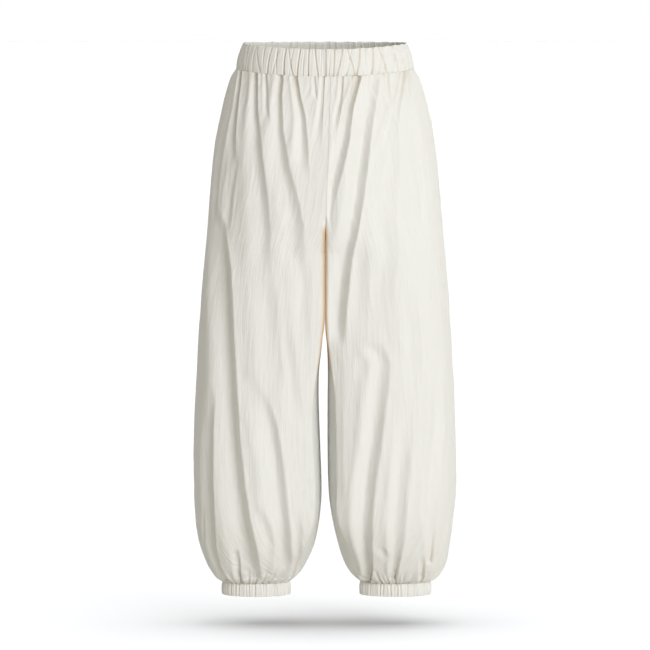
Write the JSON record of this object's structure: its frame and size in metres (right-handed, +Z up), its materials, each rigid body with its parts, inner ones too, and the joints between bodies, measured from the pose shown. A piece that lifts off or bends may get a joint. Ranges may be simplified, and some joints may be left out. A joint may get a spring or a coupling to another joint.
{
  "type": "balloon pants",
  "caption": "Full-legged pull-on cotton pants: elastic gathered waistband, front and back leg panels, side-seam pocket bags, legs gathered into narrow elastic cuffs.",
  "frame": {"origin": "middle of the waist opening, halfway up the waistband at the sides, where the wearer's waist holds it", "axes": "+X towards the wearer's left, -Y the front, +Z up along the waist's axis"},
  "size_m": [0.4548, 0.2527, 0.9568],
  "materials": {
    "cotton": "matte"
  },
  "bodies": {
    "root": {"waistband": "cotton", "front_right": "cotton", "back_right": "cotton", "pocket_bag_right": "cotton", "cuff_right": "cotton", "front_left": "cotton", "back_left": "cotton", "pocket_bag_left": "cotton", "cuff_left": "cotton"}
  },
  "joints": []
}
